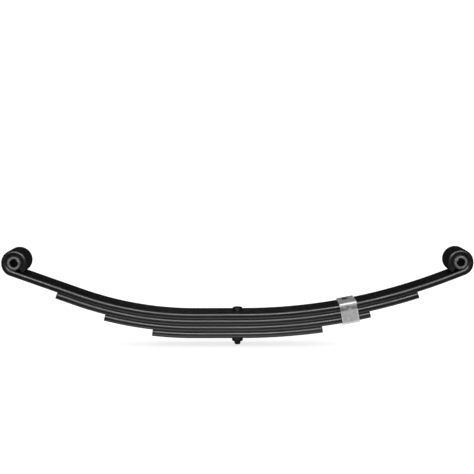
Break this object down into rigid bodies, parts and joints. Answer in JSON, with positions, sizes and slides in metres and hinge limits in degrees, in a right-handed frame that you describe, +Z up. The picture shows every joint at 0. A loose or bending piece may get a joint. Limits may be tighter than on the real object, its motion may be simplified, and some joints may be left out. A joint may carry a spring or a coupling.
{
  "type": "leaf spring",
  "caption": "Double-eye leaf spring: nested curved leaves with a bushed and sleeved eye at each end, a centre bolt with a locating head and a folded rebound clip.",
  "frame": {"origin": "on the centre bolt's axis, at the top face of the main leaf, where the axle seat rests", "axes": "+X along the spring towards the rear eye, which is the clip's end; +Y across the leaves, along both eye bores; +Z up, the way the locating head points"},
  "size_m": [0.699, 0.0488, 0.1464],
  "materials": {
    "leaf_paint": "semi-gloss black paint over rolled steel",
    "fastener_black": "black paint over a turned bolt and nut",
    "clip_zinc": "zinc-plated sheet, dull and slightly mottled",
    "bush_rubber": "matt black rubber",
    "sleeve_steel": "turned steel"
  },
  "bodies": {
    "rear_half": {"main_leaf": "leaf_paint", "second_leaf": "leaf_paint", "third_leaf": "leaf_paint", "fourth_leaf": "leaf_paint", "rear_rolled_eye": "leaf_paint", "rebound_clip": "clip_zinc", "rear_bush": "bush_rubber"},
    "front_half": {"front_rolled_eye": "leaf_paint", "front_bush": "bush_rubber"},
    "seat": {"centre_bolt": "fastener_black", "centre_nut": "fastener_black"},
    "rear_sleeve_body": {"rear_sleeve": "sleeve_steel"},
    "front_sleeve_body": {"front_sleeve": "sleeve_steel"}
  },
  "joints": [
    {"name": "flex", "type": "hinge", "parent": "rear_half", "child": "front_half", "pos_m": [0, 0, -0.01905], "axis": [0, -1, 0], "range_deg": [0, 14], "stiffness_Nm_per_rad": 8000, "deforming": ["main_leaf", "second_leaf", "third_leaf", "fourth_leaf", "rebound_clip"]},
    {"name": "seat_turn", "type": "hinge", "parent": "rear_half", "child": "seat", "pos_m": [0, 0, -0.01905], "axis": [0, -1, 0], "range_deg": [0, 7]},
    {"name": "rear_sleeve_turn", "type": "hinge", "parent": "rear_half", "child": "rear_sleeve_body", "pos_m": [0.3302, 0, 0.076], "axis": [0, 1, 0], "range_deg": [-30, 30]},
    {"name": "front_sleeve_turn", "type": "hinge", "parent": "front_half", "child": "front_sleeve_body", "pos_m": [-0.3302, 0, 0.076], "axis": [0, 1, 0], "range_deg": [-30, 30]}
  ],
  "couplings": [
    {"joint": "seat_turn", "follows": "flex", "ratio": 0.5}
  ]
}
